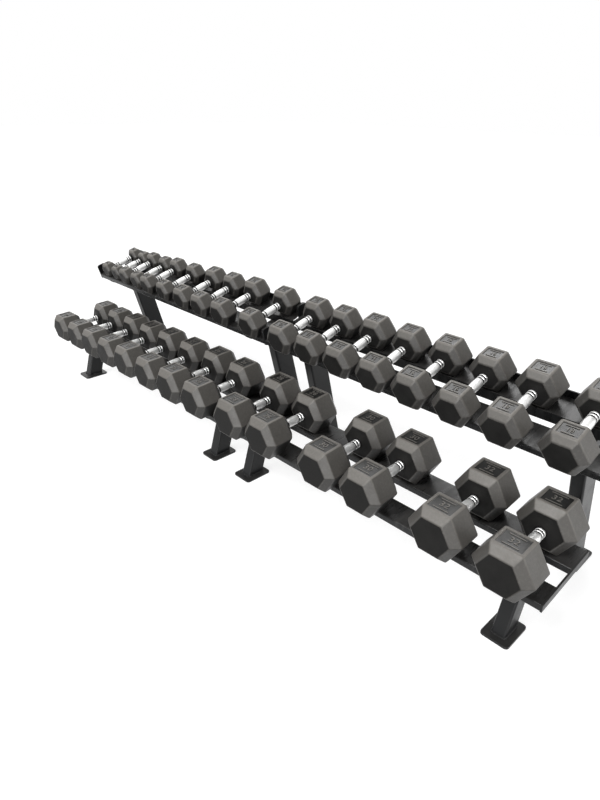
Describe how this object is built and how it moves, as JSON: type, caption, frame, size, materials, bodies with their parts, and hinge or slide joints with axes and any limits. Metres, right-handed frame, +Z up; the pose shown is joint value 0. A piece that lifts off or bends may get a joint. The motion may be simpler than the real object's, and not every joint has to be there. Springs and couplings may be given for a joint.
{
  "type": "dumbbell rack",
  "caption": "Two-tier steel dumbbell rack in black, loaded with rubber hex dumbbells with chrome handles that lift off its sloping trays.",
  "frame": {"origin": "on the floor under the middle of the loaded rack's bounding box", "axes": "+X along the rack from the light to the heavy dumbbells, -Y towards the user, +Z up"},
  "size_m": [2.8, 0.7006, 0.7218],
  "materials": {
    "powder_coat": "semi-gloss black powder coat on steel",
    "rubber_iron": "matt charcoal rubber over a cast-iron core, with a chrome-plated steel handle",
    "bolt_steel": "black oxide steel"
  },
  "bodies": {
    "rack": {"base_plates": "powder_coat", "left_outer_front_leg": "powder_coat", "left_outer_rear_post": "powder_coat", "left_outer_lower_arm": "powder_coat", "left_outer_upper_arm": "powder_coat", "left_inner_front_leg": "powder_coat", "left_inner_rear_post": "powder_coat", "left_inner_lower_arm": "powder_coat", "left_inner_upper_arm": "powder_coat", "right_inner_front_leg": "powder_coat", "right_inner_rear_post": "powder_coat", "right_inner_lower_arm": "powder_coat", "right_inner_upper_arm": "powder_coat", "right_outer_front_leg": "powder_coat", "right_outer_rear_post": "powder_coat", "right_outer_lower_arm": "powder_coat", "right_outer_upper_arm": "powder_coat", "left_lower_front_tray": "powder_coat", "left_lower_back_tray": "powder_coat", "left_upper_front_tray": "powder_coat", "left_upper_back_tray": "powder_coat", "right_lower_front_tray": "powder_coat", "right_lower_back_tray": "powder_coat", "right_upper_front_tray": "powder_coat", "right_upper_back_tray": "powder_coat", "tray_end_plates": "powder_coat", "arm_end_caps": "powder_coat", "tray_bolts": "bolt_steel"},
    "upper_dumbbell_01": {"upper_dumbbell_01": "rubber_iron"},
    "upper_dumbbell_02": {"upper_dumbbell_02": "rubber_iron"},
    "upper_dumbbell_03": {"upper_dumbbell_03": "rubber_iron"},
    "upper_dumbbell_04": {"upper_dumbbell_04": "rubber_iron"},
    "upper_dumbbell_05": {"upper_dumbbell_05": "rubber_iron"},
    "upper_dumbbell_06": {"upper_dumbbell_06": "rubber_iron"},
    "upper_dumbbell_07": {"upper_dumbbell_07": "rubber_iron"},
    "upper_dumbbell_08": {"upper_dumbbell_08": "rubber_iron"},
    "upper_dumbbell_09": {"upper_dumbbell_09": "rubber_iron"},
    "upper_dumbbell_10": {"upper_dumbbell_10": "rubber_iron"},
    "upper_dumbbell_11": {"upper_dumbbell_11": "rubber_iron"},
    "upper_dumbbell_12": {"upper_dumbbell_12": "rubber_iron"},
    "upper_dumbbell_13": {"upper_dumbbell_13": "rubber_iron"},
    "upper_dumbbell_14": {"upper_dumbbell_14": "rubber_iron"},
    "upper_dumbbell_15": {"upper_dumbbell_15": "rubber_iron"},
    "upper_dumbbell_16": {"upper_dumbbell_16": "rubber_iron"},
    "upper_dumbbell_17": {"upper_dumbbell_17": "rubber_iron"},
    "upper_dumbbell_18": {"upper_dumbbell_18": "rubber_iron"},
    "lower_dumbbell_01": {"lower_dumbbell_01": "rubber_iron"},
    "lower_dumbbell_02": {"lower_dumbbell_02": "rubber_iron"},
    "lower_dumbbell_03": {"lower_dumbbell_03": "rubber_iron"},
    "lower_dumbbell_04": {"lower_dumbbell_04": "rubber_iron"},
    "lower_dumbbell_05": {"lower_dumbbell_05": "rubber_iron"},
    "lower_dumbbell_06": {"lower_dumbbell_06": "rubber_iron"},
    "lower_dumbbell_07": {"lower_dumbbell_07": "rubber_iron"},
    "lower_dumbbell_08": {"lower_dumbbell_08": "rubber_iron"},
    "lower_dumbbell_09": {"lower_dumbbell_09": "rubber_iron"},
    "lower_dumbbell_10": {"lower_dumbbell_10": "rubber_iron"},
    "lower_dumbbell_11": {"lower_dumbbell_11": "rubber_iron"},
    "lower_dumbbell_12": {"lower_dumbbell_12": "rubber_iron"},
    "lower_dumbbell_13": {"lower_dumbbell_13": "rubber_iron"},
    "lower_dumbbell_14": {"lower_dumbbell_14": "rubber_iron"}
  },
  "joints": [
    {"name": "upper_lift_01", "type": "slide", "parent": "rack", "child": "upper_dumbbell_01", "axis": [0, -0.2756, 0.9613], "range_m": [0, 0.25]},
    {"name": "upper_lift_02", "type": "slide", "parent": "rack", "child": "upper_dumbbell_02", "axis": [0, -0.2756, 0.9613], "range_m": [0, 0.25]},
    {"name": "upper_lift_03", "type": "slide", "parent": "rack", "child": "upper_dumbbell_03", "axis": [0, -0.2756, 0.9613], "range_m": [0, 0.25]},
    {"name": "upper_lift_04", "type": "slide", "parent": "rack", "child": "upper_dumbbell_04", "axis": [0, -0.2756, 0.9613], "range_m": [0, 0.25]},
    {"name": "upper_lift_05", "type": "slide", "parent": "rack", "child": "upper_dumbbell_05", "axis": [0, -0.2756, 0.9613], "range_m": [0, 0.25]},
    {"name": "upper_lift_06", "type": "slide", "parent": "rack", "child": "upper_dumbbell_06", "axis": [0, -0.2756, 0.9613], "range_m": [0, 0.25]},
    {"name": "upper_lift_07", "type": "slide", "parent": "rack", "child": "upper_dumbbell_07", "axis": [0, -0.2756, 0.9613], "range_m": [0, 0.25]},
    {"name": "upper_lift_08", "type": "slide", "parent": "rack", "child": "upper_dumbbell_08", "axis": [0, -0.2756, 0.9613], "range_m": [0, 0.25]},
    {"name": "upper_lift_09", "type": "slide", "parent": "rack", "child": "upper_dumbbell_09", "axis": [0, -0.2756, 0.9613], "range_m": [0, 0.25]},
    {"name": "upper_lift_10", "type": "slide", "parent": "rack", "child": "upper_dumbbell_10", "axis": [0, -0.2756, 0.9613], "range_m": [0, 0.25]},
    {"name": "upper_lift_11", "type": "slide", "parent": "rack", "child": "upper_dumbbell_11", "axis": [0, -0.2756, 0.9613], "range_m": [0, 0.25]},
    {"name": "upper_lift_12", "type": "slide", "parent": "rack", "child": "upper_dumbbell_12", "axis": [0, -0.2756, 0.9613], "range_m": [0, 0.25]},
    {"name": "upper_lift_13", "type": "slide", "parent": "rack", "child": "upper_dumbbell_13", "axis": [0, -0.2756, 0.9613], "range_m": [0, 0.25]},
    {"name": "upper_lift_14", "type": "slide", "parent": "rack", "child": "upper_dumbbell_14", "axis": [0, -0.2756, 0.9613], "range_m": [0, 0.25]},
    {"name": "upper_lift_15", "type": "slide", "parent": "rack", "child": "upper_dumbbell_15", "axis": [0, -0.2756, 0.9613], "range_m": [0, 0.25]},
    {"name": "upper_lift_16", "type": "slide", "parent": "rack", "child": "upper_dumbbell_16", "axis": [0, -0.2756, 0.9613], "range_m": [0, 0.25]},
    {"name": "upper_lift_17", "type": "slide", "parent": "rack", "child": "upper_dumbbell_17", "axis": [0, -0.2756, 0.9613], "range_m": [0, 0.25]},
    {"name": "upper_lift_18", "type": "slide", "parent": "rack", "child": "upper_dumbbell_18", "axis": [0, -0.2756, 0.9613], "range_m": [0, 0.25]},
    {"name": "lower_lift_01", "type": "slide", "parent": "rack", "child": "lower_dumbbell_01", "axis": [0, -0.866, 0.5], "range_m": [0, 0.4]},
    {"name": "lower_lift_02", "type": "slide", "parent": "rack", "child": "lower_dumbbell_02", "axis": [0, -0.866, 0.5], "range_m": [0, 0.4]},
    {"name": "lower_lift_03", "type": "slide", "parent": "rack", "child": "lower_dumbbell_03", "axis": [0, -0.866, 0.5], "range_m": [0, 0.4]},
    {"name": "lower_lift_04", "type": "slide", "parent": "rack", "child": "lower_dumbbell_04", "axis": [0, -0.866, 0.5], "range_m": [0, 0.4]},
    {"name": "lower_lift_05", "type": "slide", "parent": "rack", "child": "lower_dumbbell_05", "axis": [0, -0.866, 0.5], "range_m": [0, 0.4]},
    {"name": "lower_lift_06", "type": "slide", "parent": "rack", "child": "lower_dumbbell_06", "axis": [0, -0.866, 0.5], "range_m": [0, 0.4]},
    {"name": "lower_lift_07", "type": "slide", "parent": "rack", "child": "lower_dumbbell_07", "axis": [0, -0.866, 0.5], "range_m": [0, 0.4]},
    {"name": "lower_lift_08", "type": "slide", "parent": "rack", "child": "lower_dumbbell_08", "axis": [0, -0.866, 0.5], "range_m": [0, 0.4]},
    {"name": "lower_lift_09", "type": "slide", "parent": "rack", "child": "lower_dumbbell_09", "axis": [0, -0.866, 0.5], "range_m": [0, 0.4]},
    {"name": "lower_lift_10", "type": "slide", "parent": "rack", "child": "lower_dumbbell_10", "axis": [0, -0.866, 0.5], "range_m": [0, 0.4]},
    {"name": "lower_lift_11", "type": "slide", "parent": "rack", "child": "lower_dumbbell_11", "axis": [0, -0.866, 0.5], "range_m": [0, 0.4]},
    {"name": "lower_lift_12", "type": "slide", "parent": "rack", "child": "lower_dumbbell_12", "axis": [0, -0.866, 0.5], "range_m": [0, 0.4]},
    {"name": "lower_lift_13", "type": "slide", "parent": "rack", "child": "lower_dumbbell_13", "axis": [0, -0.866, 0.5], "range_m": [0, 0.4]},
    {"name": "lower_lift_14", "type": "slide", "parent": "rack", "child": "lower_dumbbell_14", "axis": [0, -0.866, 0.5], "range_m": [0, 0.4]}
  ]
}
